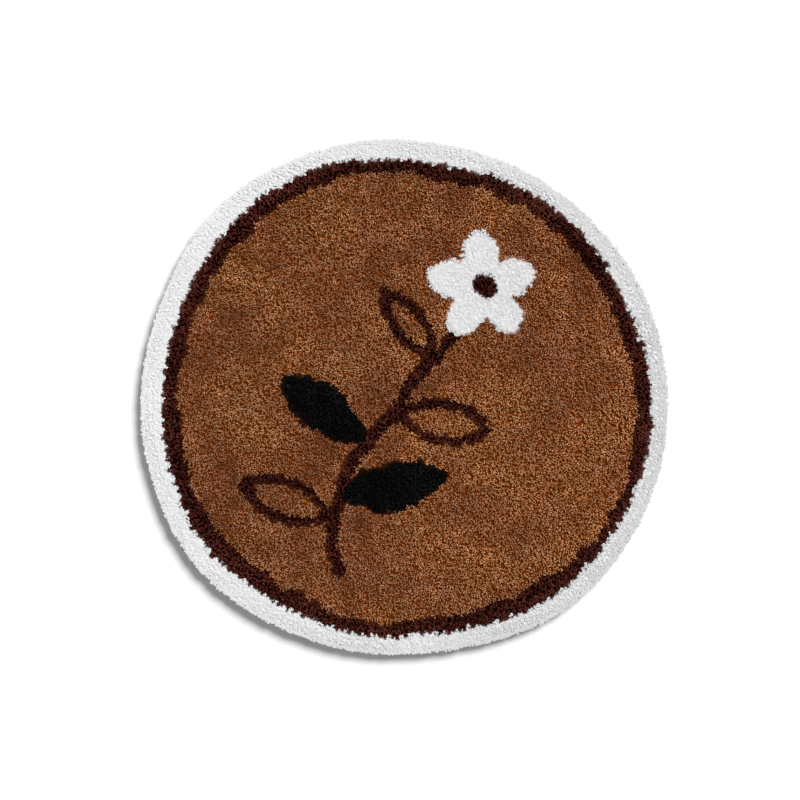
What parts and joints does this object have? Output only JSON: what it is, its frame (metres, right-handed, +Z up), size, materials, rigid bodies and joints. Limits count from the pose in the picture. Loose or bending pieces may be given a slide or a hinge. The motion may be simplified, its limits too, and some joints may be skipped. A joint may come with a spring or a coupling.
{
  "type": "round bath mat",
  "caption": "Round tufted bath mat of cut plush pile on a latex-backed cloth, lying flat on the floor to stand on and dry bare feet.",
  "frame": {"origin": "on the floor, in the middle of the mat's bounding box", "axes": "+Z up through the pile, +Y towards the top of the pattern, +X to its right"},
  "size_m": [0.604, 0.5912, 0.019],
  "materials": {
    "brown_pile": "matt cut plush yarn, caramel brown",
    "dark_pile": "matt cut plush yarn, very dark brown",
    "black_pile": "matt cut plush yarn, black",
    "white_pile": "matt cut plush yarn, white",
    "backing": "woven cloth under a thin coat of latex, natural"
  },
  "bodies": {
    "root": {"mat": "brown_pile"}
  },
  "joints": []
}
